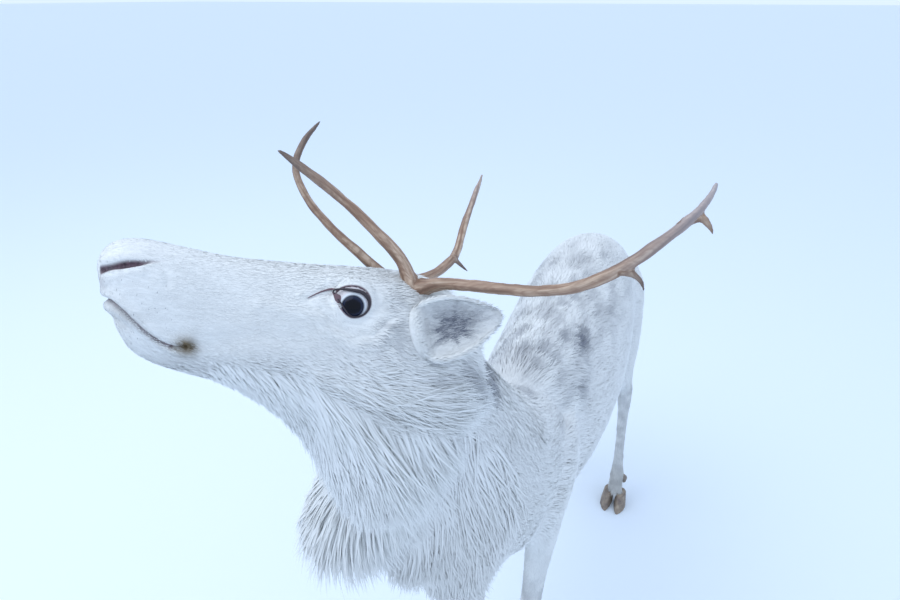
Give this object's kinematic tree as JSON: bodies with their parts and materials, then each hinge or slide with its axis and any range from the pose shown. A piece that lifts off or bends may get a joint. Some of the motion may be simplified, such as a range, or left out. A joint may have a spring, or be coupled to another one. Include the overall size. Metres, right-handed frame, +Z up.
{
  "type": "reindeer",
  "caption": "Life-size standing white reindeer with small branched antlers, a long throat ruff and its head raised and turned to its right.",
  "frame": {"origin": "on the ground, under the middle of the bounding box", "axes": "+Z up, the animal faces -Y, its left side is +X"},
  "size_m": [0.4995, 1.477, 1.3837],
  "materials": {
    "white_coat": "matte",
    "grey_coat": "matte",
    "antler": "satin",
    "hoof": "satin",
    "eye": "glossy",
    "skin": "satin"
  },
  "bodies": {
    "root": {"antler_left_beam": "antler", "antler_left_brow_tine": "antler", "antler_left_fork_tine": "antler", "antler_left_snag": "antler", "antler_right_beam": "antler", "antler_right_brow_tine": "antler", "antler_right_snag": "antler", "dewclaw_fore_left_inner": "hoof", "dewclaw_fore_left_outer": "hoof", "dewclaw_fore_right_inner": "hoof", "dewclaw_fore_right_outer": "hoof", "dewclaw_hind_left_inner": "hoof", "dewclaw_hind_left_outer": "hoof", "dewclaw_hind_right_inner": "hoof", "dewclaw_hind_right_outer": "hoof", "ear_left": "grey_coat", "ear_right": "grey_coat", "eye_left": "eye", "eye_right": "eye", "foreleg_left_lower": "grey_coat", "foreleg_left_upper": "white_coat", "foreleg_right_lower": "grey_coat", "foreleg_right_upper": "white_coat", "head": "white_coat", "hindleg_left_cannon": "grey_coat", "hindleg_left_shank": "white_coat", "hindleg_left_thigh": "white_coat", "hindleg_right_cannon": "grey_coat", "hindleg_right_shank": "white_coat", "hindleg_right_thigh": "white_coat", "hoof_fore_left_inner": "hoof", "hoof_fore_left_outer": "hoof", "hoof_fore_right_inner": "hoof", "hoof_fore_right_outer": "hoof", "hoof_hind_left_inner": "hoof", "hoof_hind_left_outer": "hoof", "hoof_hind_right_inner": "hoof", "hoof_hind_right_outer": "hoof", "neck": "white_coat", "tail": "white_coat", "torso_front": "white_coat", "torso_rear": "white_coat"}
  },
  "joints": []
}
